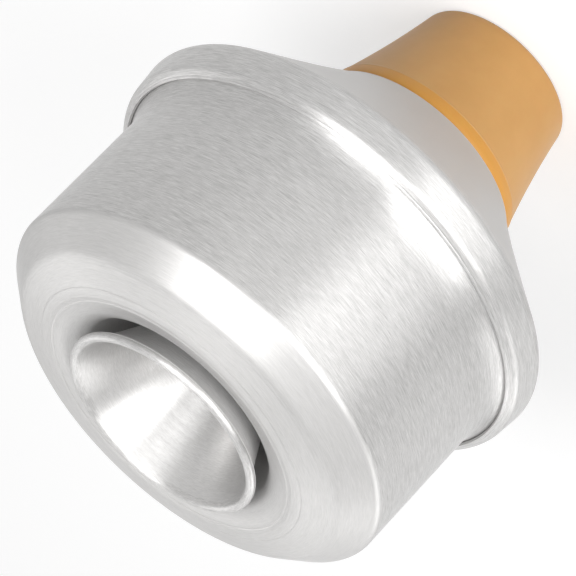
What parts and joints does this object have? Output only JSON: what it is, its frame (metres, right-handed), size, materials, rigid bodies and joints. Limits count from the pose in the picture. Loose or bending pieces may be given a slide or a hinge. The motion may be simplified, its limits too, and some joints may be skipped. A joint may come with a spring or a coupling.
{
  "type": "trumpet mute with sliding stem and cup",
  "caption": "Closed spun-aluminium trumpet mute with a tapered rubber neck and a cup on a sliding, turning stem.",
  "frame": {"origin": "centre of the free end face of the rubber neck, on which the mute stands", "axes": "+Z along the common axis, from the neck towards the cup; X and Y are any two directions across it"},
  "size_m": [0.12, 0.12, 0.1302],
  "materials": {
    "brushed_aluminium": "brushed",
    "spun_aluminium": "satin",
    "drawn_aluminium": "satin",
    "tan_rubber": "satin",
    "black_rubber": "matte"
  },
  "bodies": {
    "body": {"cone_shell": "spun_aluminium", "body_shell": "brushed_aluminium", "neck_seal": "tan_rubber", "guide_tube": "drawn_aluminium", "guide_lock_ring": "drawn_aluminium"},
    "grip_rings": {"grip_ring_lower": "black_rubber", "grip_ring_upper": "black_rubber"},
    "stem": {"stem_tube": "drawn_aluminium", "stem_cup": "brushed_aluminium"}
  },
  "joints": [
    {"name": "stem_slide", "type": "slide", "parent": "body", "child": "grip_rings", "axis": [0, 0, 1], "range_m": [0, 0.085]},
    {"name": "stem_turn", "type": "hinge", "parent": "grip_rings", "child": "stem", "pos_m": [0, 0, 0.09], "axis": [0, 0, 1], "continuous": true}
  ]
}
